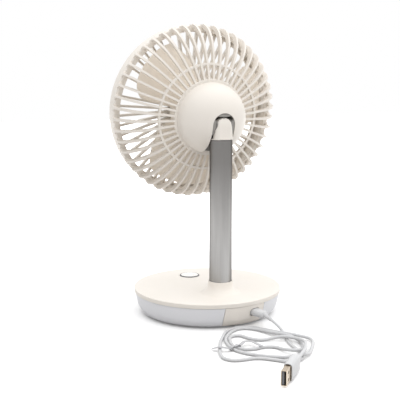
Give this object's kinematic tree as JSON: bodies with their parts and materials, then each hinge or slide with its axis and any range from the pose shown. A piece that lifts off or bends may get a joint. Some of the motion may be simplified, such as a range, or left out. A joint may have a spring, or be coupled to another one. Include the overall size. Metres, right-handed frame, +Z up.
{
  "type": "desk fan",
  "caption": "Small desk fan with a caged tilting head on a metal pole, a weighted round base with a push button, and a coiled detachable USB lead.",
  "frame": {"origin": "on the table under the centre of the round base, at the rubber feet's undersides", "axes": "+Z up; the air leaves the head along -Y; the pole, the lead socket and the lead are on the +Y side; +X is to the right when the fan is seen from the front"},
  "size_m": [0.1712, 0.2869, 0.2796],
  "materials": {
    "cream_plastic": "satin moulded",
    "grey_plastic": "satin moulded",
    "dark_plastic": "fine textured",
    "pole_aluminium": "satin",
    "steel": "plated",
    "cast_iron": "raw",
    "foot_rubber": "matt",
    "circuit_board": "solder mask",
    "bronze": "sintered",
    "lead_plastic": "satin"
  },
  "bodies": {
    "base": {"ballast_weight": "cast_iron", "base_cover": "cream_plastic", "base_screw_1": "steel", "base_screw_2": "steel", "base_screw_3": "steel", "base_screw_4": "steel", "base_skirt": "grey_plastic", "bottom_plate": "grey_plastic", "button_board": "circuit_board", "cord_coil": "lead_plastic", "cord_lead": "lead_plastic", "cord_tail": "lead_plastic", "friction_washer_left": "steel", "friction_washer_right": "steel", "motor_lead": "dark_plastic", "pole_foot": "steel", "pole_screw_1": "steel", "pole_screw_2": "steel", "pole_screw_3": "steel", "pole_tube": "pole_aluminium", "port_board": "circuit_board", "port_panel": "cream_plastic", "port_plug_body": "lead_plastic", "port_plug_tip": "steel", "rubber_foot_1": "foot_rubber", "rubber_foot_2": "foot_rubber", "rubber_foot_3": "foot_rubber", "rubber_foot_4": "foot_rubber", "switch_housing": "steel", "tilt_knuckle": "cream_plastic", "twist_tie": "lead_plastic", "usb_plug_body": "lead_plastic", "usb_plug_insert": "lead_plastic", "usb_plug_shell": "steel", "usb_socket": "steel"},
    "button": {"power_button": "cream_plastic", "switch_plunger": "dark_plastic"},
    "head": {"motor_cover": "cream_plastic", "tilt_bracket": "dark_plastic", "tilt_pin": "steel", "bracket_screw_1": "steel", "bracket_screw_2": "steel", "rear_grille": "cream_plastic", "front_ring": "cream_plastic", "front_grille": "cream_plastic", "front_cap": "cream_plastic", "motor_housing": "cream_plastic", "motor_can": "steel", "motor_end_plate": "dark_plastic", "motor_magnets": "cast_iron", "rear_bearing": "bronze", "front_bearing": "bronze"},
    "fan_rotor": {"motor_rotor": "bronze", "motor_shaft": "steel", "impeller": "cream_plastic", "blade_nut": "steel"}
  },
  "joints": [
    {"name": "head_tilt", "type": "hinge", "parent": "base", "child": "head", "pos_m": [0, 0.0327, 0.1853], "axis": [-1, 0, 0], "range_deg": [-15, 20]},
    {"name": "fan_spin", "type": "hinge", "parent": "head", "child": "fan_rotor", "pos_m": [0, 0.00729, 0.19021], "axis": [0, 0.9936, -0.1132], "continuous": true},
    {"name": "button_press", "type": "slide", "parent": "base", "child": "button", "axis": [0, 0, -1], "range_m": [0, 0.0008], "stiffness_N_per_m": 1500, "springref_m": -0.0003}
  ]
}
